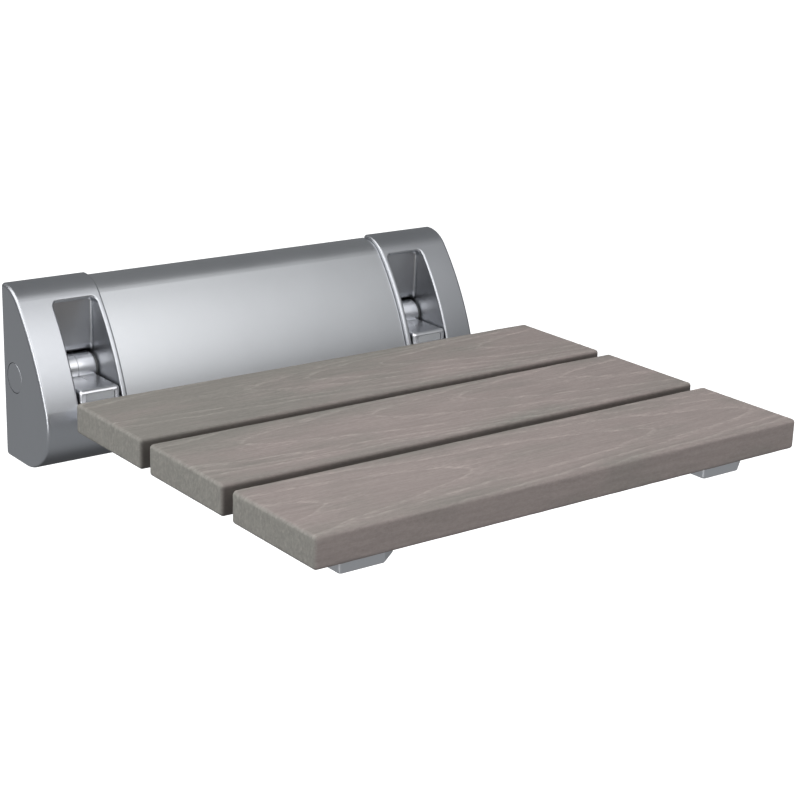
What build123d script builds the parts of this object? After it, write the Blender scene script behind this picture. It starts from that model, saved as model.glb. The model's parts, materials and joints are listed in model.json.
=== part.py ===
from build123d import *
import math
import os

# A wall-mounted folding shower seat, in millimetres.
# The origin is the centre of the back face, on the wall.
# +X runs along the slats, +Y points into the wall and +Z is up, so depth out from the wall is -Y.
# The seat is modelled folded down, with its arms just clear of their stop pads.

# ---- Housing: two cast end brackets with a curved cover between them ----
housing_width = 369.5
housing_height = 124.5
bracket_width = 63.25
housing_depth = 64.8
top_flat_depth = 4.0
top_bend_radius = 26.0
top_bend_turn = 50.0
lower_bend_radius = 35.0
wall_corner_radius = 3.0
outer_rim_radius = 2.4
inner_rim_radius = 1.7
skin = 3.5
cover_inset = 2.7
cover_thickness = 2.2
cover_end_gap = 0.4
cover_screw_x = 60.0
cover_screw_depth = 14.0
cover_ledge_gap = 0.2
cover_ledge_thickness = 2.0
cover_ledge_length = 4.0

# ---- Pocket behind the window in each bracket ----
hinge_x = 142.5
pocket_width = 33.5
pocket_top = 49.5
pocket_back_depth = 19.0
pocket_corner_radius = 4.0
pocket_inner_radius = 2.2
window_rim_radius = 1.5
cavity_radius = 12.4
cavity_lip_radius = 6.0
cheek_thickness = 4.0

# ---- Hinge ----
hinge_depth = 17.0
hinge_height = -2.0
pin_radius = 6.0
pin_tail_length = 3.5
pin_head_radius = 9.2
pin_head_thickness = 3.0
pin_head_gap = 0.3
pin_fit = 0.02
cap_radius = 10.6
cap_thickness = 2.5
cap_flush_step = 0.1
pin_chamfer = 0.3
cap_groove = 0.3
hinge_boss_radius = 13.5
bush_wall = 2.0
bush_clearance = 0.05
washer_radius = 9.0
washer_thickness = 1.2
ring_radius = 8.5
ring_thickness = 1.2
ring_groove_depth = 0.7
ring_opening = 5.0
grub_radius = 2.5
grub_x = 171.5
grub_rear_depth = 4.0

# ---- Seat arms ----
knuckle_radius = 11.0
knuckle_rim_radius = 1.2
neck_width = 30.5
neck_top = -4.5
neck_edge_radius = 2.5
neck_slope = 12.5
shoulder_depth = 61.5
shoulder_radius = 3.0
flare_start_depth = 66.5
flare_end_depth = 73.0
arm_width = 44.5
arm_height = 11.8
arm_front_depth = 376.5
nose_cut_width = 13.5
nose_cut_depth = 10.0
nose_radius = 2.5
arm_edge_radius = 1.2
arm_wall = 3.0
channel_start_depth = 77.0
channel_corner_radius = 3.0
rib_thickness = 3.0
first_rib_depth = 110.0
insert_width = 21.6
insert_height = 5.2
insert_thickness = 1.5
insert_gap = 0.4
insert_corner_radius = 1.5
stop_pad_start = 26.0
stop_pad_end = 44.0
stop_pad_width = 26.0
stop_gap = 0.3

# ---- Slats ----
seat_width = 380.0
seat_front_depth = 388.8
slat_depth = 84.0
slat_gap = 9.9
slat_thickness = 20.5
slat_top = 8.3
slat_edge_radius = 2.6

# ---- Wall plate and fasteners ----
plate_thickness = 3.0
plate_half_width = 179.0
plate_half_height = 56.0
plate_corner_radius = 4.0
wall_hole_radius = 4.25
wall_hole_x = 90.0
wall_hole_z = 35.0
tab_width = 20.0
tab_thickness = 2.2
lower_tab_depth = 24.0
upper_tab_depth = 8.0
upper_tab_drop = 0.9
bracket_screw_x = (142.5, 172.0)
bracket_screw_z = 50.0
bracket_screw_radius = 2.5
bracket_screw_head_radius = 4.7
bracket_screw_length = 15.0
screw_tip_room = 1.0
screw_block_width = 12.0
screw_block_depth = 19.0
screw_block_inner_z = 43.0
rear_recess_width = 27.0
rear_recess_bottom = 16.0
rear_recess_top = 45.0
rear_recess_depth = 16.0
floor_thickness = 4.0
slat_screw_radius = 2.0
slat_screw_head_radius = 4.2
slat_screw_head_height = 2.6
slat_screw_bite = 13.0
slat_screw_offset = 22.0
screw_clearance = 0.3
cover_screw_radius = 2.0
cover_screw_head_radius = 3.9
cover_screw_length = 8.0
countersink_angle = 90.0
thread_fit = 0.02
hex_share = 0.5
socket_depth_share = 0.6

# How far from its nominal place a selected edge or corner may lie.
touch = 0.01

# ---- Values that follow from the dimensions above ----
half_height = housing_height / 2
half_width = housing_width / 2
bracket_inner_x = half_width - bracket_width
pocket_high_x = hinge_x + pocket_width / 2
pocket_low_x = hinge_x - pocket_width / 2
seat_underside = slat_top - slat_thickness
arm_bottom = seat_underside - arm_height
slat_pitch = slat_depth + slat_gap
hinge_centre = (hinge_depth, hinge_height)
ledge_inset = cover_inset + cover_thickness + cover_ledge_gap
cover_inner_top = half_height - cover_inset - cover_thickness
screw_places = [(x, z) for x in bracket_screw_x for z in (-bracket_screw_z, bracket_screw_z)]
all_screw_places = screw_places + [(-x, z) for x, z in screw_places]
cover_screw_places = [(x, -cover_screw_depth) for x in (-cover_screw_x, cover_screw_x)]
slat_centre_depths = [seat_front_depth - slat_depth / 2 - slat_pitch * row for row in range(3)]
slat_screw_depths = [
    depth + side * slat_screw_offset for depth in slat_centre_depths for side in (-1, 1)
]

# The housing's face is one large arc, tangent to the bend at the top and the bend at the bottom.
bend_angle = math.radians(90 - top_bend_turn)
top_bend_centre = Vector(top_flat_depth, half_height - top_bend_radius)
lower_bend_centre = Vector(housing_depth - lower_bend_radius, lower_bend_radius - half_height)
bend_normal = Vector(math.cos(bend_angle), math.sin(bend_angle))
bend_end = top_bend_centre + bend_normal * top_bend_radius
bend_to_lower = lower_bend_centre - bend_end
face_radius = (lower_bend_radius**2 - bend_to_lower.length**2) / (
    2 * (bend_to_lower.dot(bend_normal) + lower_bend_radius)
)
face_centre = bend_end - bend_normal * face_radius
centre_line = lower_bend_centre - face_centre
lower_angle = math.degrees(math.atan2(centre_line.Y, centre_line.X))


def side_plane(x):
    """The plane across the seat at x: first axis depth out from the wall, second axis height."""
    return Plane(origin=(x, 0, 0), x_dir=(0, -1, 0), z_dir=(-1, 0, 0))


def housing_outline(inset):
    """The edges of the housing's side outline, set in by inset."""
    top = half_height - inset
    with BuildLine() as outline:
        Line((0, top), (top_flat_depth, top))
        CenterArc(top_bend_centre, top_bend_radius - inset, 90, -top_bend_turn)
        CenterArc(face_centre, face_radius - inset, 90 - top_bend_turn, lower_angle - 90 + top_bend_turn)
        CenterArc(lower_bend_centre, lower_bend_radius - inset, lower_angle, -90 - lower_angle)
        Line((lower_bend_centre.X, -top), (0, -top))
        Line((0, -top), (0, top))
    return outline.edges()


def slope_point(along, radius):
    """A point under the hinge axis at radius, moved along the sloping underside of the neck."""
    slope = math.radians(neck_slope)
    depth = hinge_depth + along * math.cos(slope) - radius * math.sin(slope)
    height = hinge_height - along * math.sin(slope) - radius * math.cos(slope)
    return (depth, height)


def on_housing_face(edge):
    """True for an edge that lies on the housing's outer skin."""
    for share in (0, 0.5, 1):
        point = edge.position_at(share)
        spot = Vector(-point.Y, point.Z)
        from_face = abs((spot - face_centre).length - face_radius)
        from_bend = abs((spot - lower_bend_centre).length - lower_bend_radius)
        if min(from_face, from_bend) > touch:
            return False
    return True


def finish(part, name):
    """Label a finished sub-part and write its file."""
    part.label = name
    export_step(part, f"parts/{name}.step")


os.makedirs("parts", exist_ok=True)

# ---- Pocket space: the hollow that the knuckle and neck move in ----
floor_start = slope_point(0, cavity_radius)
floor_end = slope_point(2 * housing_depth, cavity_radius)
with BuildPart() as pocket_space:
    with BuildSketch(side_plane(pocket_high_x)):
        with Locations(hinge_centre):
            Circle(cavity_radius)
        with BuildLine():
            Polyline(
                (pocket_back_depth, hinge_height),
                (pocket_back_depth, pocket_top),
                (floor_end[0], pocket_top),
                floor_end,
                floor_start,
                hinge_centre,
                close=True,
            )
        make_face()
        back_wall_ends = vertices().filter_by_position(
            Axis.X, pocket_back_depth - touch, pocket_back_depth + touch
        )
        fillet(back_wall_ends.sort_by(Axis.Y)[0], cavity_lip_radius)
    extrude(amount=pocket_width)
    top_corners = edges().filter_by(Axis.Y).group_by(Axis.Z)[-1]
    fillet(top_corners, pocket_corner_radius)
    upright_edges = edges().filter_by(Axis.Z).filter_by_position(
        Axis.Y, -pocket_back_depth - touch, -pocket_back_depth + touch
    )
    fillet(upright_edges, pocket_inner_radius)

# ---- End brackets: cast shells with a windowed pocket, hinge cheeks and screw blocks ----
outer_chamber_low_x = pocket_high_x + cheek_thickness
outer_chamber_high_x = half_width - skin
outer_chamber_width = outer_chamber_high_x - outer_chamber_low_x
plate_room = half_height - skin
cap_seat_x = half_width - cap_thickness - cap_flush_step
head_seat_x = cap_seat_x - pin_head_thickness - pin_head_gap
with BuildPart() as bracket_right:
    # The outer shell, rounded at both ends.
    with BuildSketch(side_plane(half_width)):
        make_face(housing_outline(0))
        fillet(vertices().group_by(Axis.X)[0], wall_corner_radius)
    extrude(amount=bracket_width)
    fillet(faces().sort_by(Axis.X)[-1].edges(), outer_rim_radius)
    fillet(faces().sort_by(Axis.X)[0].edges(), inner_rim_radius)
    # The pocket, with a rounded rim around its window.
    add(pocket_space.part, mode=Mode.SUBTRACT)
    window_rim = edges().filter_by(on_housing_face)
    window_rim = window_rim.filter_by_position(Axis.X, pocket_low_x, pocket_high_x)
    fillet(window_rim, window_rim_radius)
    # The hollow between the outer cheek and the side wall.
    with BuildSketch(side_plane(outer_chamber_high_x)):
        make_face(housing_outline(skin))
    extrude(amount=outer_chamber_width, mode=Mode.SUBTRACT)
    # The hollow under the pocket's floor.
    with BuildSketch(side_plane(pocket_high_x)):
        make_face(housing_outline(skin))
        with BuildLine():
            Polyline(
                slope_point(-housing_depth, cavity_radius + floor_thickness),
                slope_point(housing_depth, cavity_radius + floor_thickness),
                (2 * housing_depth, -housing_height),
                (-housing_depth, -housing_height),
                close=True,
            )
        make_face(mode=Mode.INTERSECT)
    extrude(amount=pocket_width, mode=Mode.SUBTRACT)
    # The recess in the back of the pocket's rear wall.
    with BuildSketch(side_plane(hinge_x + rear_recess_width / 2)):
        with BuildLine():
            Polyline(
                (0, rear_recess_bottom),
                (rear_recess_depth, rear_recess_bottom),
                (rear_recess_depth, rear_recess_top),
                (0, rear_recess_top),
                close=True,
            )
        make_face()
    extrude(amount=rear_recess_width, mode=Mode.SUBTRACT)
    # The boss that carries the hinge pin.
    with BuildSketch(side_plane(outer_chamber_high_x)):
        with Locations(hinge_centre):
            Circle(hinge_boss_radius)
    extrude(amount=outer_chamber_width)
    # The blocks that take the bracket screws, kept inside the skin.
    for block_x in bracket_screw_x:
        for side in (-1, 1):
            with BuildSketch(side_plane(block_x + screw_block_width / 2)):
                make_face(housing_outline(skin / 2))
                with Locations((screw_block_depth / 2, side * (screw_block_inner_z + half_height) / 2)):
                    Rectangle(screw_block_depth, half_height - screw_block_inner_z, mode=Mode.INTERSECT)
            extrude(amount=screw_block_width)
    # The ledge inside the cover's end.
    with BuildSketch(side_plane(bracket_inner_x)):
        make_face(housing_outline(ledge_inset))
        make_face(housing_outline(ledge_inset + cover_ledge_thickness), mode=Mode.SUBTRACT)
    extrude(amount=cover_ledge_length)
    # The room at the back for the wall plate.
    with BuildSketch(side_plane(outer_chamber_high_x)):
        with Locations((plate_thickness / 2, 0)):
            Rectangle(plate_thickness, 2 * plate_room)
    extrude(amount=outer_chamber_high_x - bracket_inner_x + cover_ledge_length, mode=Mode.SUBTRACT)
    # The bores for the hinge pin, its head and its cap.
    for bore_x, bore_radius in (
        (bracket_inner_x, pin_radius + pin_fit),
        (head_seat_x, pin_head_radius + cap_groove),
        (cap_seat_x, cap_radius + cap_groove),
    ):
        with BuildSketch(side_plane(half_width)):
            with Locations(hinge_centre):
                Circle(bore_radius)
        extrude(amount=half_width - bore_x, mode=Mode.SUBTRACT)
    # The threaded holes: bracket screws from behind, and the grub screw that locks the pin.
    with BuildSketch(Plane.XZ.offset(plate_thickness)):
        with Locations(*screw_places):
            Circle(bracket_screw_radius + thread_fit)
    extrude(amount=bracket_screw_length - plate_thickness + screw_tip_room, mode=Mode.SUBTRACT)
    with BuildSketch(Plane.XZ.offset(plate_thickness)):
        with Locations((grub_x, hinge_height)):
            Circle(grub_radius + thread_fit)
    extrude(amount=hinge_depth - plate_thickness, mode=Mode.SUBTRACT)
with BuildPart() as bracket_left:
    mirror(bracket_right.part, about=Plane.YZ)
finish(bracket_right.part, "bracket_right")
finish(bracket_left.part, "bracket_left")

# ---- Wall plate: a flat steel plate with folded tabs for the cover ----
with BuildPart() as wall_plate:
    with BuildSketch(Plane.XZ):
        RectangleRounded(2 * plate_half_width, 2 * plate_half_height, plate_corner_radius)
        with GridLocations(2 * wall_hole_x, 2 * wall_hole_z, 2, 2):
            Circle(wall_hole_radius, mode=Mode.SUBTRACT)
    extrude(amount=plate_thickness)
    with Locations(Plane.back):
        with Locations(*all_screw_places):
            CounterSinkHole(
                bracket_screw_radius + thread_fit,
                bracket_screw_head_radius + thread_fit,
                plate_thickness,
                countersink_angle,
            )
    for tab_x in (-cover_screw_x, cover_screw_x):
        with BuildSketch(side_plane(tab_x + tab_width / 2)):
            with BuildLine():
                Polyline(
                    (0, tab_thickness - cover_inner_top),
                    (lower_tab_depth, tab_thickness - cover_inner_top),
                    (lower_tab_depth, -cover_inner_top),
                    (plate_thickness, -cover_inner_top),
                    (plate_thickness, -plate_half_height),
                    (0, -plate_half_height),
                    close=True,
                )
            make_face()
            with BuildLine():
                Polyline(
                    (0, cover_inner_top - upper_tab_drop),
                    (upper_tab_depth, cover_inner_top - upper_tab_drop),
                    (upper_tab_depth, cover_inner_top - upper_tab_drop - tab_thickness),
                    (0, cover_inner_top - upper_tab_drop - tab_thickness),
                    close=True,
                )
            make_face()
        extrude(amount=tab_width)
    with BuildSketch(Plane.XY.offset(-cover_inner_top)):
        with Locations(*cover_screw_places):
            Circle(cover_screw_radius + thread_fit)
    extrude(amount=tab_thickness, mode=Mode.SUBTRACT)
finish(wall_plate.part, "wall_plate")

# ---- Centre cover: one curved panel between the brackets ----
cover_half_length = bracket_inner_x - cover_end_gap
with BuildPart() as centre_cover:
    with BuildSketch(side_plane(cover_half_length)):
        make_face(housing_outline(cover_inset))
        make_face(housing_outline(cover_inset + cover_thickness), mode=Mode.SUBTRACT)
    extrude(amount=2 * cover_half_length)
    with Locations(Plane.bottom.offset(half_height - cover_inset)):
        with Locations(*[(x, -y) for x, y in cover_screw_places]):
            CounterSinkHole(
                cover_screw_radius + screw_clearance,
                cover_screw_head_radius + thread_fit,
                cover_thickness,
                countersink_angle,
            )
finish(centre_cover.part, "centre_cover")


def countersunk_screw(head_radius, shank_radius, length):
    """Half the outline of a countersunk screw that points up, its flat head at the bottom."""
    with BuildLine() as outline:
        Polyline(
            (0, 0),
            (head_radius, 0),
            (shank_radius, head_radius - shank_radius),
            (shank_radius, length - shank_radius / 2),
            (shank_radius / 2, length),
            (0, length),
            close=True,
        )
    return outline.edges()


# ---- Screws: one turned body with a hexagonal socket, set out wherever it is used ----
with BuildPart() as cover_screw:
    with BuildSketch(Plane.XZ):
        make_face(countersunk_screw(cover_screw_head_radius, cover_screw_radius, cover_screw_length))
    revolve(axis=Axis.Z)
    with BuildSketch(Plane.XY):
        RegularPolygon(hex_share * cover_screw_radius, 6)
    extrude(amount=socket_depth_share * cover_screw_radius, mode=Mode.SUBTRACT)
with BuildPart() as cover_screws:
    with Locations(*[(x, y, cover_inset - half_height) for x, y in cover_screw_places]):
        add(cover_screw.part)
finish(cover_screws.part, "cover_screws")

with BuildPart() as bracket_screw:
    with BuildSketch(Plane.XZ):
        make_face(
            countersunk_screw(bracket_screw_head_radius, bracket_screw_radius, bracket_screw_length)
        )
    revolve(axis=Axis.Z)
    with BuildSketch(Plane.XY):
        RegularPolygon(hex_share * bracket_screw_radius, 6)
    extrude(amount=socket_depth_share * bracket_screw_radius, mode=Mode.SUBTRACT)
with BuildPart() as bracket_screws:
    with Locations(Plane.XZ):
        with Locations(*all_screw_places):
            add(bracket_screw.part)
finish(bracket_screws.part, "bracket_screws")

# ---- Hinge pins: a headed pin, held by a ring at its tail and hidden by a flush cap ----
pin_tail_x = bracket_inner_x - pin_tail_length
with BuildPart() as hinge_pin_right:
    with BuildSketch(side_plane(head_seat_x + pin_head_thickness)):
        with Locations(hinge_centre):
            Circle(pin_head_radius)
    extrude(amount=pin_head_thickness)
    with BuildSketch(side_plane(head_seat_x)):
        with Locations(hinge_centre):
            Circle(pin_radius)
    extrude(amount=head_seat_x - pin_tail_x)
    ends = [faces().sort_by(Axis.X)[0], faces().sort_by(Axis.X)[-1]]
    chamfer([edge for end in ends for edge in end.edges()], pin_chamfer)
    with BuildSketch(side_plane(bracket_inner_x)):
        with Locations(hinge_centre):
            Circle(pin_radius)
            Circle(pin_radius - ring_groove_depth, mode=Mode.SUBTRACT)
    extrude(amount=ring_thickness, mode=Mode.SUBTRACT)

with BuildPart() as pin_cap_right:
    with BuildSketch(side_plane(cap_seat_x + cap_thickness)):
        with Locations(hinge_centre):
            Circle(cap_radius)
    extrude(amount=cap_thickness)
    chamfer(faces().sort_by(Axis.X)[-1].edges(), pin_chamfer)

with BuildPart() as retaining_rings:
    with BuildSketch(side_plane(bracket_inner_x)):
        with Locations(hinge_centre):
            Circle(ring_radius)
            Circle(pin_radius - ring_groove_depth, mode=Mode.SUBTRACT)
        with Locations((hinge_depth, hinge_height - ring_radius)):
            Rectangle(ring_opening, 2 * ring_radius, mode=Mode.SUBTRACT)
    extrude(amount=ring_thickness)
    mirror(about=Plane.YZ)
finish(retaining_rings.part, "retaining_rings")

with BuildPart() as pin_grub_screws:
    with BuildSketch(Plane.XZ.offset(grub_rear_depth)):
        with Locations((grub_x, hinge_height)):
            Circle(grub_radius)
    extrude(amount=hinge_depth - pin_radius - grub_rear_depth)
    with BuildSketch(Plane.XZ.offset(grub_rear_depth)):
        with Locations((grub_x, hinge_height)):
            RegularPolygon(hex_share * grub_radius, 6)
    extrude(amount=socket_depth_share * grub_radius, mode=Mode.SUBTRACT)
    mirror(about=Plane.YZ)
finish(pin_grub_screws.part, "pin_grub_screws")

with BuildPart() as thrust_washers:
    for washer_x in (pocket_high_x, pocket_low_x + washer_thickness):
        with BuildSketch(side_plane(washer_x)):
            with Locations(hinge_centre):
                Circle(washer_radius)
                Circle(pin_radius + pin_fit, mode=Mode.SUBTRACT)
        extrude(amount=washer_thickness)
    mirror(about=Plane.YZ)
finish(thrust_washers.part, "thrust_washers")

with BuildPart() as hinge_bush_right:
    with BuildSketch(side_plane(hinge_x + neck_width / 2)):
        with Locations(hinge_centre):
            Circle(pin_radius + bush_clearance + bush_wall)
            Circle(pin_radius + bush_clearance, mode=Mode.SUBTRACT)
    extrude(amount=neck_width)

# ---- Stop pads: rubber strips on the pocket's sloping floor, under the neck ----
with BuildPart() as stop_pad_right:
    with BuildSketch(side_plane(hinge_x + stop_pad_width / 2)):
        with BuildLine():
            Polyline(
                slope_point(stop_pad_start, cavity_radius),
                slope_point(stop_pad_end, cavity_radius),
                slope_point(stop_pad_end, knuckle_radius + stop_gap),
                slope_point(stop_pad_start, knuckle_radius + stop_gap),
                close=True,
            )
        make_face()
    extrude(amount=stop_pad_width)

# ---- Seat arms: a long channel under the slats, with a raised neck and a hinge knuckle ----
arm_low_x = hinge_x - arm_width / 2
arm_high_x = hinge_x + arm_width / 2
rib_depths = [first_rib_depth] + [
    depth - slat_pitch / 2 for depth in slat_centre_depths[:-1]
]
slope = math.radians(neck_slope)
neck_drop = hinge_height - arm_bottom - knuckle_radius * math.cos(slope)
neck_bottom_along = neck_drop / math.sin(slope)
nose_corners = [
    (arm_low_x, -arm_front_depth),
    (arm_high_x - nose_cut_width, -arm_front_depth),
    (arm_high_x, nose_cut_depth - arm_front_depth),
]

# The neck, from the knuckle to the shoulder, with a rounded edge along each side of its top.
with BuildPart() as neck:
    with BuildSketch(side_plane(hinge_x + neck_width / 2)):
        with BuildLine():
            Polyline(
                (hinge_depth, neck_top),
                (shoulder_depth, neck_top),
                (shoulder_depth, seat_underside),
                (flare_start_depth, seat_underside),
                (flare_start_depth, arm_bottom),
                slope_point(neck_bottom_along, knuckle_radius),
                slope_point(0, knuckle_radius),
                close=True,
            )
        make_face()
        shoulder_corners = vertices().filter_by_position(
            Axis.X, shoulder_depth - touch, shoulder_depth + touch
        )
        fillet(shoulder_corners.sort_by(Axis.Y)[-1], shoulder_radius)
    extrude(amount=neck_width)
    fillet(edges().filter_by(Axis.Y).group_by(Axis.Z)[-1], neck_edge_radius)

# The knuckle, a drum round the hinge with rounded rims.
with BuildPart() as knuckle:
    with BuildSketch(side_plane(hinge_x + neck_width / 2)):
        with Locations(hinge_centre):
            Circle(knuckle_radius)
    extrude(amount=neck_width)
    fillet(edges(), knuckle_rim_radius)

with BuildPart() as arm_right:
    # The long bar, narrowed behind the flare, with one corner of its nose cut off at an angle.
    with BuildSketch(Plane.XY.offset(arm_bottom)):
        with BuildLine():
            Polyline(
                (hinge_x - neck_width / 2, -shoulder_depth),
                (hinge_x - neck_width / 2, -flare_start_depth),
                (arm_low_x, -flare_end_depth),
                *nose_corners,
                (arm_high_x, -flare_end_depth),
                (hinge_x + neck_width / 2, -flare_start_depth),
                (hinge_x + neck_width / 2, -shoulder_depth),
                close=True,
            )
        make_face()
        fillet(vertices().filter_by(lambda corner: corner.Y < -channel_start_depth), nose_radius)
    extrude(amount=arm_height)
    under_edges = faces().sort_by(Axis.Z)[0].edges()
    fillet(under_edges.filter_by(lambda edge: edge.center().Y < -flare_start_depth), arm_edge_radius)
    # The hollow under the arm, crossed by ribs.
    with BuildSketch(Plane.XY.offset(arm_bottom)):
        with BuildLine():
            Polyline(
                (arm_low_x, -channel_start_depth),
                *nose_corners,
                (arm_high_x, -channel_start_depth),
                close=True,
            )
        make_face()
        offset(amount=-arm_wall)
        fillet(vertices(), channel_corner_radius)
    extrude(amount=arm_height - arm_wall, mode=Mode.SUBTRACT)
    with BuildSketch(Plane.XY.offset(arm_bottom + arm_edge_radius)):
        with Locations(*[(hinge_x, -depth) for depth in rib_depths]):
            Rectangle(arm_width - arm_wall, rib_thickness)
    extrude(amount=arm_height - arm_edge_radius - arm_wall / 2)
    with BuildSketch(Plane.XY.offset(arm_bottom)):
        with Locations(*[(hinge_x, -depth) for depth in slat_screw_depths]):
            Circle(slat_screw_radius + screw_clearance)
    extrude(amount=arm_height, mode=Mode.SUBTRACT)
    # The neck and the knuckle join it.
    add(neck.part)
    add(knuckle.part)
    # The recess for the insert, in the shoulder's front.
    with BuildSketch(Plane.XZ.offset(shoulder_depth)):
        with Locations((hinge_x, seat_underside)):
            RectangleRounded(
                insert_width + 2 * insert_gap,
                2 * (insert_height + insert_gap),
                insert_corner_radius + insert_gap,
            )
        with Locations((hinge_x, seat_underside - insert_height)):
            Rectangle(2 * arm_width, 2 * insert_height, mode=Mode.SUBTRACT)
    extrude(amount=-insert_thickness - insert_gap, mode=Mode.SUBTRACT)
    # The bore for the hinge bush.
    with BuildSketch(side_plane(hinge_x + neck_width / 2)):
        with Locations(hinge_centre):
            Circle(pin_radius + bush_clearance + bush_wall + pin_fit)
    extrude(amount=neck_width, mode=Mode.SUBTRACT)

with BuildPart() as arm_insert_right:
    with BuildSketch(Plane.XZ.offset(shoulder_depth - insert_gap)):
        with Locations((hinge_x, seat_underside)):
            RectangleRounded(insert_width, 2 * insert_height, insert_corner_radius)
        with Locations((hinge_x, seat_underside - insert_height)):
            Rectangle(2 * arm_width, 2 * insert_height, mode=Mode.SUBTRACT)
    extrude(amount=-insert_thickness)

# The same casting serves as either arm.
with BuildPart() as arm_left:
    with Locations((-2 * hinge_x, 0, 0)):
        add(arm_right.part)
finish(arm_right.part, "arm_right")
finish(arm_left.part, "arm_left")

# The other left-hand parts mirror the right-hand ones.
for right_part, name in (
    (hinge_pin_right, "hinge_pin"),
    (pin_cap_right, "pin_cap"),
    (hinge_bush_right, "hinge_bush"),
    (stop_pad_right, "stop_pad"),
    (arm_insert_right, "arm_insert"),
):
    with BuildPart() as left_part:
        mirror(right_part.part, about=Plane.YZ)
    finish(right_part.part, f"{name}_right")
    finish(left_part.part, f"{name}_left")

# ---- Slats: three equal boards, rounded on every edge, drilled from below ----
for slat_name, centre_depth in zip(("slat_front", "slat_middle", "slat_back"), slat_centre_depths):
    with BuildPart() as slat:
        with BuildSketch(Plane.XY.offset(seat_underside)):
            with Locations((0, -centre_depth)):
                Rectangle(seat_width, slat_depth)
        extrude(amount=slat_thickness)
        fillet(edges(), slat_edge_radius)
        with BuildSketch(Plane.XY.offset(seat_underside)):
            with Locations((0, -centre_depth)):
                with GridLocations(2 * hinge_x, 2 * slat_screw_offset, 2, 2):
                    Circle(slat_screw_radius + thread_fit)
        extrude(amount=slat_screw_bite + screw_tip_room, mode=Mode.SUBTRACT)
    finish(slat.part, slat_name)

# ---- Slat screws: pan-headed, up through each arm's top web into the slats ----
with BuildPart() as slat_screw:
    with BuildSketch(Plane.XY.offset(-slat_screw_head_height)):
        Circle(slat_screw_head_radius)
    extrude(amount=slat_screw_head_height)
    fillet(faces().sort_by(Axis.Z)[0].edges(), slat_screw_head_height / 2)
    with BuildSketch(Plane.XY):
        Circle(slat_screw_radius)
    extrude(amount=arm_wall + slat_screw_bite)
    with BuildSketch(Plane.XY.offset(-slat_screw_head_height)):
        RegularPolygon(slat_screw_radius, 6)
    extrude(amount=socket_depth_share * slat_screw_head_height, mode=Mode.SUBTRACT)
slat_screw_places = [(x, -depth) for x in (-hinge_x, hinge_x) for depth in slat_screw_depths]
with BuildPart() as slat_screws:
    with Locations(Plane.XY.offset(seat_underside - arm_wall)):
        with Locations(*slat_screw_places):
            add(slat_screw.part)
finish(slat_screws.part, "slat_screws")
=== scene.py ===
import bpy
import json
import math
import numpy as np
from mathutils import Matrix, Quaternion, Vector


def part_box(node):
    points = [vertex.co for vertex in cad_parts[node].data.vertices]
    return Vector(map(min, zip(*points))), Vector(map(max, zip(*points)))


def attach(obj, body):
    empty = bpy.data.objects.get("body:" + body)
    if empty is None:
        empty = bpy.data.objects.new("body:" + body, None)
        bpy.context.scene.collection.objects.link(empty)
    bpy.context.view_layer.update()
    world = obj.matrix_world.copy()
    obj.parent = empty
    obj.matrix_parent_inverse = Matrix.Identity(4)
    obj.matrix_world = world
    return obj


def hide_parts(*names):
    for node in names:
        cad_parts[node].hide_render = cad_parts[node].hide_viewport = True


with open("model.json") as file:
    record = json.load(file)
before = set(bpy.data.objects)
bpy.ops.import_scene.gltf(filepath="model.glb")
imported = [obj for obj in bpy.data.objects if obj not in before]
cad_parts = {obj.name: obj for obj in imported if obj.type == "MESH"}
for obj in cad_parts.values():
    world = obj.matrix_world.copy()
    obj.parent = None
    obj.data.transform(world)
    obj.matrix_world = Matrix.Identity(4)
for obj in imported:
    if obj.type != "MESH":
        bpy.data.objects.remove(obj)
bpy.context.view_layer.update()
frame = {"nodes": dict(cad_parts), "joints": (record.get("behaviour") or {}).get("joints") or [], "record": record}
nodes = frame["nodes"]
mm = 0.001

# ---------------------------------------------------------------- settings
camera_place = Vector((-0.7115, -1.1367, 0.3763))
camera_azimuth = -37.57
camera_elevation = 17.67
camera_roll = 1.87
camera_lens = 82.95
floor_height = -0.62
floor_reach = 30.0

# The boards: the radius of their edges, and the steps of their mesh.
slat_edge = 2.6 * mm
slat_edge_steps = 4
slat_step_along = 1.5 * mm
slat_step_across = 0.55 * mm
slat_step_thick = 1.1 * mm

# The grain: how deep it is, how the growth lines bend, and how strongly each kind of mark shows. The grain is
# worked out in mm, and so are the widths of a line's sharper inner edge and softer outer edge.
emboss_depth = 0.22 * mm
end_grain_depth = 0.12 * mm
arm_curve = 1.75
line_inner_edge = 0.55
line_outer_edge = 1.8
line_strength = 0.22
line_dash_strength = 0.35
line_tick_strength = 0.4
fuzz_share = 0.6
fuzz_strength = 0.7
streak_strength = 0.3
side_streak_strength = 0.1
saw_mark_strength = 0.15
saw_pit_strength = 0.5
saw_mark_level = 0.35

# The boards' colour: how strongly and how far the painted shade darkens the faces in the gaps, how it changes
# along the long edges, where it turns from green to pink across the seat, and how much lighter or darker the small
# marks are.
gap_shade = 0.8
gap_shade_depth = 3.5 * mm
edge_tint = 0.6
edge_tint_width = 9.0 * mm
forward_drift = 2.2
drift_start = 0.2
drift_end = 0.55
patch_swing = 0.5
grain_tone = 1.34
streak_tone_swing = 0.08
speckle_tone_swing = 0.11

# The casting's parting line, over the knuckle and along the neck. The angles are in degrees, up from forward.
knuckle_radius = 11.0 * mm
neck_top = -4.5 * mm
parting_offset = 1.5 * mm
parting_radius = 0.3 * mm
parting_sides = 8
knuckle_angles = range(115, -12, -3)
neck_places = (-29.0 * mm, -31.0 * mm, -34.0 * mm, -37.0 * mm, -40.0 * mm)

# The place that the lights face.
light_target = Vector((0.0, -0.1, 0.02))

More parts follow.
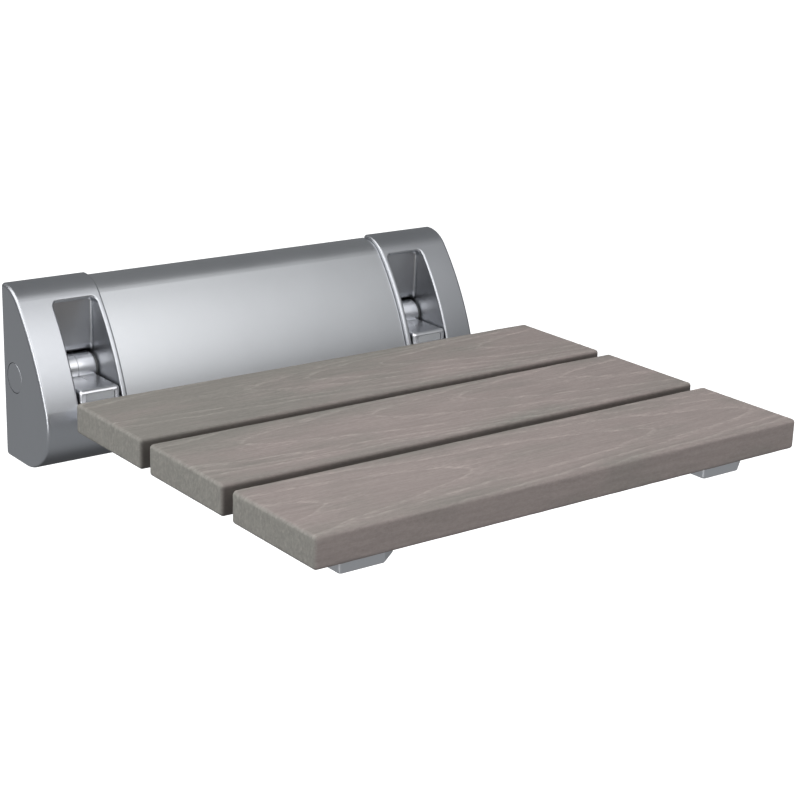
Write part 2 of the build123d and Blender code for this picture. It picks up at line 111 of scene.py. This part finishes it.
# The studio's own light: its brightness below and above the horizon, and the two places where it is dimmer.
studio_colour = (0.95, 0.975, 1.0, 1)
studio_low = 0.355
studio_high = 0.24
horizon_blur = 0.2
band_height = 0.02
band_inner = 0.05
band_outer = 0.16
band_share = 0.45
corner_azimuth = 135
corner_elevation = -52
corner_outer = 0.7
corner_inner = 0.95
corner_share = 0.25


# ---------------------------------------------------------------- materials
class Graph:
    """A node tree under construction, with short calls for the nodes that it needs."""

    def __init__(self, tree):
        self.tree = tree

    def node(self, kind, **settings):
        made = self.tree.nodes.new(kind)
        for key, value in settings.items():
            setattr(made, key, value)
        return made

    def put(self, value, socket):
        """Links a node's output to a socket, or sets the socket to a plain value."""
        if isinstance(value, bpy.types.NodeSocket):
            self.tree.links.new(value, socket)
        else:
            socket.default_value = value

    def to_range(self, value, start, end, low=0.0, high=1.0):
        """value from start to end becomes a number from low to high."""
        made = self.node("ShaderNodeMapRange")
        for socket, number in zip(("From Min", "From Max", "To Min", "To Max"), (start, end, low, high)):
            made.inputs[socket].default_value = number
        self.put(value, made.inputs["Value"])
        return made.outputs["Result"]

    def maths(self, operation, first, second):
        made = self.node("ShaderNodeMath", operation=operation)
        self.put(first, made.inputs[0])
        self.put(second, made.inputs[1])
        return made.outputs["Value"]


class Look(Graph):
    """A material under construction, built on a Principled surface."""

    def __init__(self, name, **sockets):
        self.material = bpy.data.materials.new(name)
        self.material.use_nodes = True
        super().__init__(self.material.node_tree)
        self.surface = self.tree.nodes["Principled BSDF"]
        for socket, value in sockets.items():
            self.surface.inputs[socket.replace("_", " ")].default_value = value
        self.place = self.node("ShaderNodeTexCoord").outputs["Object"]

    def noise(self, scale, stretch=(1, 1, 1), detail=3.0, roughness=0.55):
        """Noise in the object's own space, from 0 to 1."""
        mapping = self.node("ShaderNodeMapping")
        mapping.inputs["Scale"].default_value = stretch
        self.put(self.place, mapping.inputs["Vector"])
        made = self.node("ShaderNodeTexNoise")
        for socket, value in (("Scale", scale), ("Detail", detail), ("Roughness", roughness)):
            made.inputs[socket].default_value = value
        made.inputs["Distortion"].default_value = 0.0
        self.put(mapping.outputs["Vector"], made.inputs["Vector"])
        return made.outputs["Fac"]

    def mix(self, share, first, second):
        """Two colours mixed by share."""
        made = self.node("ShaderNodeMixRGB")
        for socket, value in zip(("Fac", "Color1", "Color2"), (share, first, second)):
            self.put(value, made.inputs[socket])
        return made.outputs["Color"]

    def tone(self, colour, share):
        """A colour made lighter or darker by share."""
        made = self.node("ShaderNodeVectorMath", operation="SCALE")
        self.put(colour, made.inputs["Vector"])
        self.put(share, made.inputs["Scale"])
        return made.outputs["Vector"]

    def attribute(self, name):
        return self.node("ShaderNodeAttribute", attribute_name=name).outputs["Fac"]

    def bump(self, height, distance, strength=1.0):
        made = self.node("ShaderNodeBump")
        made.inputs["Distance"].default_value = distance
        made.inputs["Strength"].default_value = strength
        self.put(height, made.inputs["Height"])
        self.put(made.outputs["Normal"], self.surface.inputs["Normal"])

    def base(self, colour):
        self.put(colour, self.surface.inputs["Base Color"])

    def rough(self, value):
        self.put(value, self.surface.inputs["Roughness"])


def rgb(red, green, blue):
    """A colour given as the shades of a screen, from 0 to 255, made linear."""
    shades = []
    for value in (red, green, blue):
        share = value / 255
        shades.append(share / 12.92 if share <= 0.04045 else ((share + 0.055) / 1.055) ** 2.4)
    return (*shades, 1.0)


def metal_look(name, colour, roughness, pebble, wave=0.0):
    """Satin metal with an uneven sheen. pebble and wave are the heights of its pebbling and its waviness."""
    sheen_swing = 0.02
    look = Look(name, Metallic=1.0)
    cloudy = look.noise(18.0, detail=4.0)
    fine = look.noise(420.0, detail=2.0)
    look.base(look.tone(colour[:3], look.to_range(cloudy, 0.3, 0.7, 0.95, 1.0)))
    smooth = look.to_range(cloudy, 0.25, 0.75, roughness - sheen_swing, roughness + sheen_swing)
    look.rough(look.maths("ADD", smooth, look.to_range(fine, 0.2, 0.8, -sheen_swing, sheen_swing)))
    waves = look.to_range(look.noise(120.0, detail=1.0), 0.0, 1.0, 0.0, wave)
    look.bump(look.maths("ADD", look.to_range(fine, 0.0, 1.0, 0.0, pebble), waves), 1.0)
    return look.material


def moulded_look(name, colour, roughness):
    """Moulded plastic or rubber with a fine matt texture."""
    sheen_swing = 0.06
    look = Look(name)
    fine = look.noise(1500.0)
    look.base(look.tone(colour[:3], look.to_range(look.noise(40.0), 0.3, 0.7, 0.85, 1.0)))
    look.rough(look.to_range(fine, 0.2, 0.8, roughness - sheen_swing, roughness + sheen_swing))
    look.bump(fine, 0.03 * mm)
    return look.material


def composite_look():
    """Wood-plastic composite: taupe, greener towards the back, the left and a board's long edges. The meshes
    carry the paler embossed grain, the painted shade in the gaps and the green-grey cut ends as attributes."""
    green_taupe, pink_taupe = rgb(136, 132, 126), rgb(154, 143, 139)
    end_grey, gap_shade_colour = rgb(159, 156, 149), rgb(66, 61, 56)
    look = Look("slat_composite")
    patches = look.noise(26.0, (0.5, 1.6, 1.2), detail=4.0, roughness=0.6)
    speckle = look.noise(620.0, (0.45, 1.0, 0.8), detail=4.0, roughness=0.75)
    streaks = look.noise(420.0, (0.07, 1.0, 0.8), detail=3.0, roughness=0.65)
    split = look.node("ShaderNodeSeparateXYZ")
    look.put(look.place, split.inputs["Vector"])
    backward = look.maths("MULTIPLY", split.outputs["Y"], forward_drift)
    drift = look.maths("SUBTRACT", split.outputs["X"], backward)
    patchy = look.to_range(patches, 0.3, 0.7, -patch_swing, patch_swing)
    pinkness = look.maths("ADD", look.to_range(drift, drift_start, drift_end), patchy)
    pinkness = look.maths("SUBTRACT", pinkness, look.attribute("edge_tint"))
    base = look.mix(look.to_range(pinkness, 0.0, 1.0), green_taupe, pink_taupe)
    base = look.mix(look.attribute("cut_end"), base, end_grey)
    grained = look.tone(base, look.to_range(look.attribute("grain"), 0.0, 1.0, 1.0, grain_tone))
    # Painted shade: the faces that look forward into the gaps are mixed towards the dark gap_shade_colour.
    shaded = look.mix(look.attribute("gap_shade"), grained, gap_shade_colour)
    streak_tone = look.to_range(streaks, 0.3, 0.7, 1 - streak_tone_swing, 1 + streak_tone_swing)
    speckle_tone = look.to_range(speckle, 0.3, 0.7, 1 - speckle_tone_swing, 1 + speckle_tone_swing)
    look.base(look.tone(look.tone(shaded, streak_tone), speckle_tone))
    look.rough(look.to_range(speckle, 0.2, 0.8, 0.62, 0.78))
    look.bump(look.maths("ADD", speckle, streaks), 0.09 * mm, 0.9)
    return look.material


# ---------------------------------------------------------------- slats
def eased(share):
    """A share from 0 to 1 that starts and ends gently."""
    return share * share * (3 - 2 * share)


def soft_noise(x, y, size_x, size_y, seed):
    """Gentle noise over a board, from -1 to 1, the same on every run. A size is the length of one swell."""
    count = 256
    values = np.random.default_rng(seed).uniform(-1, 1, (count, count))
    x, y = x / size_x, y / size_y
    column, row = np.floor(x).astype(int), np.floor(y).astype(int)
    along, up = eased(x - column), eased(y - row)

    def value_at(column, row):
        return values[row % count, column % count]

    low = value_at(column, row) * (1 - along) + value_at(column + 1, row) * along
    high = value_at(column, row + 1) * (1 - along) + value_at(column + 1, row + 1) * along
    return low * (1 - up) + high * up


def share_noise(x, y, size_x, size_y, seed, level=0.5, swing=0.5):
    """Soft noise that swings about level, kept from 0 to 1."""
    return np.clip(level + swing * soft_noise(x, y, size_x, size_y, seed), 0, 1)


def grain_strength(along, across, arches, seed):
    """How strongly the embossed grain shows, from 0 to 1. along and across are in mm from the board's corner.
    The growth lines are nested arches. Each has a tip, and two arms that spread back towards along = 0."""
    waver = np.zeros_like(along)
    for shift, size_along, size_across, layer in ((2.2, 60, 16, 0), (1.0, 17, 5, 1), (0.5, 5, 2.5, 6)):
        waver += shift * soft_noise(along, across, size_along, size_across, seed + layer)
    lines = np.zeros_like(along)
    fuzz = np.zeros_like(along)
    for (tip, heart, back_spread, front_spread), (next_tip, *_) in zip(arches, arches[1:]):
        off = across - heart + waver
        spread = np.where(off < 0, back_spread, front_spread)
        level = along + (np.abs(off) / spread) ** arm_curve
        steepness = arm_curve * (np.abs(off) / spread) ** (arm_curve - 1) / spread
        distance = (level - tip) / np.sqrt(1 + steepness**2)
        edge = np.where(distance < 0, line_inner_edge, line_outer_edge)
        lines = np.maximum(lines, np.exp(-((distance / edge) ** 2)))
        share = (level - tip) / (next_tip - tip)
        fuzz = np.maximum(fuzz, np.where((share > 0) & (share < fuzz_share), 1 - share / fuzz_share, 0))
    dashes = share_noise(along, across, 6, 0.8, seed + 2, swing=0.75)
    ticks = share_noise(along, across, 2.6, 0.9, seed + 7, swing=0.75)
    breaks = share_noise(along, across, 14, 2.2, seed + 3, level=0.75, swing=0.6)
    streaks = share_noise(along, across, 24, 1.1, seed + 8, level=-0.35, swing=1.0)
    strength = lines * breaks * (line_strength + line_dash_strength * dashes + line_tick_strength * ticks)
    strength += fuzz_strength * fuzz * dashes * ticks
    strength += streak_strength * streaks
    return np.clip(strength, 0, 1)


def edge_spaced(low, high, step):
    """Grid places from low to high: evenly turned round the rounded edges, and about step apart between."""
    turns = np.tan(np.linspace(math.pi / 4, 0, slat_edge_steps + 1)) * slat_edge
    inner_low, inner_high = low + slat_edge, high - slat_edge
    middle = np.linspace(inner_low, inner_high, max(2, round((inner_high - inner_low) / step)) + 1)
    return np.concatenate([inner_low - turns[:-1], middle, inner_high + turns[::-1][1:]])


def rounded_board(low, high):
    """A closed board with rounded edges as one grid, and the outward direction at each of its points."""
    low, high = np.array(low), np.array(high)
    steps = (slat_step_along, slat_step_across, slat_step_thick)
    places = [edge_spaced(a, b, step) for a, b, step in zip(low, high, steps)]
    points, faces, start = [], [], 0
    for normal_axis in range(3):
        first_axis, second_axis = (normal_axis + 1) % 3, (normal_axis + 2) % 3
        first, second = np.meshgrid(places[first_axis], places[second_axis], indexing="ij")
        index = np.arange(first.size).reshape(first.shape)
        corners = [index[:-1, :-1], index[1:, :-1], index[1:, 1:], index[:-1, 1:]]
        quads = np.stack(corners, -1).reshape(-1, 4)
        for side, order in ((high[normal_axis], slice(None)), (low[normal_axis], slice(None, None, -1))):
            grid = np.empty((first.size, 3))
            grid[:, normal_axis] = side
            grid[:, first_axis] = first.ravel()
            grid[:, second_axis] = second.ravel()
            points.append(grid)
            faces.append(quads[:, order] + start)
            start += first.size
    points, faces = np.concatenate(points), np.concatenate(faces)
    _, kept, joined = np.unique(np.round(points, 7), axis=0, return_index=True, return_inverse=True)
    points, faces = points[kept], joined.reshape(-1)[faces]
    core = np.clip(points, low + slat_edge, high - slat_edge)
    outward = points - core
    outward /= np.linalg.norm(outward, axis=1)[:, None]
    return core + outward * slat_edge, outward, faces


def make_slat(node, arches, opens_left, seed):
    """A board that replaces a plain CAD slat, with its wood grain embossed in the mesh. The arches of the
    grain open towards the left or the right."""
    low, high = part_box(node)
    points, outward, faces = rounded_board(low, high)
    from_left = (points[:, 0] - low[0]) / mm
    along = from_left if opens_left else (high[0] - low[0]) / mm - from_left
    across = (high[1] - points[:, 1]) / mm
    height = points[:, 2] / mm
    grain = grain_strength(along, across, arches, seed)
    # The long sides and the underside show fine streaks, and the ends show upright saw marks and pits.
    streaks = share_noise(along, height, 9, 1.1, seed + 4)
    saw_marks = 0.5 + saw_mark_strength * soft_noise(across, height, 1.1, 9, seed + 5)
    saw_marks = np.clip(saw_marks + saw_pit_strength * soft_noise(across, height, 1.1, 1.3, seed + 9), 0, 1)
    top = np.clip(outward[:, 2], 0, 1) ** 2
    long_side = outward[:, 1] ** 2
    end = outward[:, 0] ** 2
    under = np.clip(-outward[:, 2], 0, 1) ** 2
    rough_sides = (1 - streaks) * (long_side + under) + (1 - saw_marks) * end
    depth = emboss_depth * (1 - grain) * top + end_grain_depth * rough_sides
    points = points - outward * depth[:, None]
    mesh = bpy.data.meshes.new(node + "_board")
    mesh.from_pydata(points.tolist(), [], faces.tolist())
    # Painted shade: faces that look forward into a gap darken over gap_shade_depth below the top; the front board
    # gets none.
    in_gap = np.clip(-outward[:, 1], 0, 1) ** 2 * np.clip((high[2] - points[:, 2]) / gap_shade_depth, 0, 1)
    from_edge = np.clip(np.minimum(points[:, 1] - low[1], high[1] - points[:, 1]), 0, None)
    side_marks = side_streak_strength * streaks * long_side
    end_marks = (saw_marks - saw_mark_level) * end
    painted = {
        "grain": grain * top + side_marks + end_marks,
        "cut_end": end,
        "edge_tint": edge_tint * np.exp(-from_edge / edge_tint_width) * top,
        "gap_shade": gap_shade * in_gap * (node != "slat_front"),
    }
    for name, values in painted.items():
        mesh.attributes.new(name, "FLOAT", "POINT").data.foreach_set("value", values.astype(np.float32))
    mesh.shade_smooth()
    board = bpy.data.objects.new(node + "_board", mesh)
    bpy.context.collection.objects.link(board)
    board.data.materials.append(slat_material)
    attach(board, "seat")
    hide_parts(node)


slat_material = composite_look()
# Each arch: where its tip is along and across the board, then how its back and front arms spread, in mm.
front_arches = (
    (32, 45, 2.1, 2.2), (138, 43, 1.8, 2.1), (284, 49, 1.9, 1.15), (370, 53, 2.4, 1.25), (445, 55, 2.4, 1.3),
    (520, 56, 2.4, 1.3), (600, 56, 2.4, 1.3), (690, 56, 2.4, 1.3),
)
middle_arches = (
    (68, 26, 1.2, 2.1), (158, 24, 1.4, 2.6), (230, 26, 1.5, 2.5), (330, 28, 1.5, 2.2), (440, 28, 1.6, 2.0),
    (500, 28, 1.6, 1.95), (550, 28, 1.6, 1.9), (610, 28, 1.6, 1.9),
)
back_arches = (
    (70, 30, 1.4, 2.0), (157, 30, 1.4, 2.0), (220, 31, 1.4, 2.0), (268, 32, 1.4, 2.0), (440, 30, 1.5, 1.65),
    (500, 30, 1.5, 1.7), (570, 30, 1.5, 1.8),
)
make_slat("slat_front", front_arches, opens_left=True, seed=11)
make_slat("slat_middle", middle_arches, opens_left=False, seed=23)
make_slat("slat_back", back_arches, opens_left=False, seed=37)


# ---------------------------------------------------------------- parting lines
def parting_line(name, x, path):
    """A fine raised line left by the casting mould, half sunk in an arm's surface. path lists (y, z)."""
    path = np.array(path)
    heading = np.gradient(path, axis=0)
    heading /= np.linalg.norm(heading, axis=1)[:, None]
    points, faces = [], []
    # A ring of points stands round each place on the path, and quads join it to the next ring.
    for (y, z), (toward_y, toward_z) in zip(path, heading):
        for turn in np.linspace(0, 2 * math.pi, parting_sides, endpoint=False):
            rise = parting_radius * math.cos(turn)
            points.append((x + parting_radius * math.sin(turn), y - toward_z * rise, z + toward_y * rise))
    for row in range(len(path) - 1):
        for side in range(parting_sides):
            here = row * parting_sides + side
            beside = row * parting_sides + (side + 1) % parting_sides
            faces.append((here, beside, beside + parting_sides, here + parting_sides))
    faces.append(tuple(range(parting_sides))[::-1])
    faces.append(tuple(range(len(points) - parting_sides, len(points))))
    mesh = bpy.data.meshes.new(name)
    mesh.from_pydata(points, [], faces)
    mesh.shade_smooth()
    line = bpy.data.objects.new(name, mesh)
    bpy.context.collection.objects.link(line)
    line.data.materials.append(arm_metal)
    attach(line, "seat")


# ---------------------------------------------------------------- CAD parts
bracket_metal = metal_look("bracket_metal", rgb(190, 192, 196), roughness=0.34, pebble=0.012 * mm)
cover_metal = metal_look("cover_metal", rgb(201, 203, 206), roughness=0.34, pebble=0.008 * mm)
arm_metal = metal_look("arm_metal", rgb(220, 221, 224), roughness=0.3, pebble=0.006 * mm, wave=0.12 * mm)
steel = metal_look("steel", rgb(190, 190, 190), roughness=0.3, pebble=0.01 * mm)
acetal = moulded_look("acetal", rgb(122, 123, 122), roughness=0.5)
insert_plastic = moulded_look("insert_plastic", rgb(176, 178, 180), roughness=0.35)
rubber = moulded_look("rubber", rgb(38, 38, 38), roughness=0.8)
material_of_slot = {
    "housing_metal": bracket_metal,
    "cover_metal": cover_metal,
    "arm_metal": arm_metal,
    "steel": steel,
    "acetal": acetal,
    "insert_plastic": insert_plastic,
    "rubber": rubber,
    "slat_composite": slat_material,
}
_, hinge_y, hinge_z = frame["joints"][0]["pos_m"]
casting_path = []
for angle in knuckle_angles:
    forward = knuckle_radius * math.cos(math.radians(angle))
    upward = knuckle_radius * math.sin(math.radians(angle))
    casting_path.append((hinge_y - forward, hinge_z + upward))
for neck_place in neck_places:
    casting_path.append((neck_place, neck_top))
for side in ("left", "right"):
    arm_low, arm_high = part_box("arm_" + side)
    middle = (arm_low[0] + arm_high[0]) / 2
    parting_line("parting_line_" + side, middle + parting_offset, casting_path)
for subpart in frame["record"]["subparts"]:
    mesh = nodes[subpart["node"]].data
    mesh.materials.clear()
    mesh.materials.append(material_of_slot[subpart["material_slot"]])

# ---------------------------------------------------------------- floor, lights and camera
floor_mesh = bpy.data.meshes.new("floor")
floor_corners = [
    (x * floor_reach, y * floor_reach, floor_height) for x, y in ((-1, -1), (1, -1), (1, 1), (-1, 1))
]
floor_mesh.from_pydata(floor_corners, [], [(0, 1, 2, 3)])
floor = bpy.data.objects.new("floor", floor_mesh)
bpy.context.collection.objects.link(floor)
floor_look = Look("floor", Roughness=0.9)
floor_look.base(rgb(250, 250, 250))
floor_look.surface.inputs["Emission Color"].default_value = (1, 1, 1, 1)
floor_look.surface.inputs["Emission Strength"].default_value = 1.0
floor_mesh.materials.append(floor_look.material)
floor.visible_glossy = False
floor.visible_diffuse = False


def direction(azimuth, elevation):
    """The direction at azimuth degrees from -Y towards +X, and elevation degrees above the horizon."""
    turn, rise = math.radians(azimuth), math.radians(elevation)
    return Vector((math.sin(turn) * math.cos(rise), -math.cos(turn) * math.cos(rise), math.sin(rise)))


def softbox(name, azimuth, elevation, distance, width, height, brightness):
    """A large rectangular softbox that faces the housing, as bright as brightness all over."""
    light = bpy.data.lights.new(name, "AREA")
    light.shape = "RECTANGLE"
    light.size, light.size_y = width, height
    light.energy = brightness * math.pi * width * height
    lamp = bpy.data.objects.new(name, light)
    lamp.location = light_target + direction(azimuth, elevation) * distance
    lamp.rotation_mode = "QUATERNION"
    lamp.rotation_quaternion = (light_target - lamp.location).to_track_quat("-Z", "Y")
    bpy.context.collection.objects.link(lamp)
    return lamp


softbox("front_softbox", azimuth=-1, elevation=49, distance=1.6, width=2.5, height=1.8, brightness=0.84)
softbox(
    "front_softbox_centre", azimuth=6, elevation=42, distance=1.55, width=1.2, height=0.85, brightness=1.08
)
softbox("left_softbox", azimuth=-100, elevation=50, distance=1.5, width=1.5, height=1.5, brightness=2.0)
# A tall strip whose reflection runs along the rounded edges that face left.
ridge_strip = softbox(
    "ridge_strip", azimuth=-58, elevation=12, distance=1.6, width=0.6, height=1.5, brightness=3.2
)
ridge_strip.visible_diffuse = False

world = bpy.data.worlds.new("studio")
world.use_nodes = True
sky = Graph(world.node_tree)
outward = sky.node("ShaderNodeTexCoord").outputs["Generated"]
split = sky.node("ShaderNodeSeparateXYZ")
sky.put(outward, split.inputs["Vector"])
height = split.outputs["Z"]
brightness = sky.to_range(height, -horizon_blur, horizon_blur, studio_low, studio_high)
# A darker band lies along the horizon.
from_band = sky.maths("ABSOLUTE", sky.maths("SUBTRACT", height, band_height), 0.0)
band = sky.to_range(from_band, band_inner, band_outer, band_share, 1.0)
brightness = sky.maths("MULTIPLY", brightness, band)
# The far corner below, behind and to the right is darker, as the housing's underside shows.
facing = sky.node("ShaderNodeVectorMath", operation="DOT_PRODUCT")
sky.put(outward, facing.inputs[0])
sky.put(direction(corner_azimuth, corner_elevation), facing.inputs[1])
corner = sky.to_range(facing.outputs["Value"], corner_outer, corner_inner, 1.0, corner_share)
brightness = sky.maths("MULTIPLY", brightness, corner)
background = sky.tree.nodes["Background"]
background.inputs["Color"].default_value = studio_colour
sky.put(brightness, background.inputs["Strength"])
# The camera itself sees plain white.
white = sky.node("ShaderNodeBackground")
white.inputs["Color"].default_value = (1, 1, 1, 1)
white.inputs["Strength"].default_value = 1.0
seen = sky.node("ShaderNodeMixShader")
sky.put(sky.node("ShaderNodeLightPath").outputs["Is Camera Ray"], seen.inputs["Fac"])
sky.put(background.outputs["Background"], seen.inputs[1])
sky.put(white.outputs["Background"], seen.inputs[2])
sky.put(seen.outputs["Shader"], sky.tree.nodes["World Output"].inputs["Surface"])
bpy.context.scene.world = world
bpy.context.scene.view_settings.view_transform = "Standard"
bpy.context.scene.view_settings.look = "None"

camera_data = bpy.data.cameras.new("camera")
camera_data.lens = camera_lens
camera = bpy.data.objects.new("camera", camera_data)
camera.location = camera_place
camera.rotation_mode = "QUATERNION"
looking = -direction(camera_azimuth, camera_elevation)
roll = Quaternion((0, 0, 1), math.radians(camera_roll))
camera.rotation_quaternion = looking.to_track_quat("-Z", "Y") @ roll
bpy.context.collection.objects.link(camera)
bpy.context.scene.camera = camera
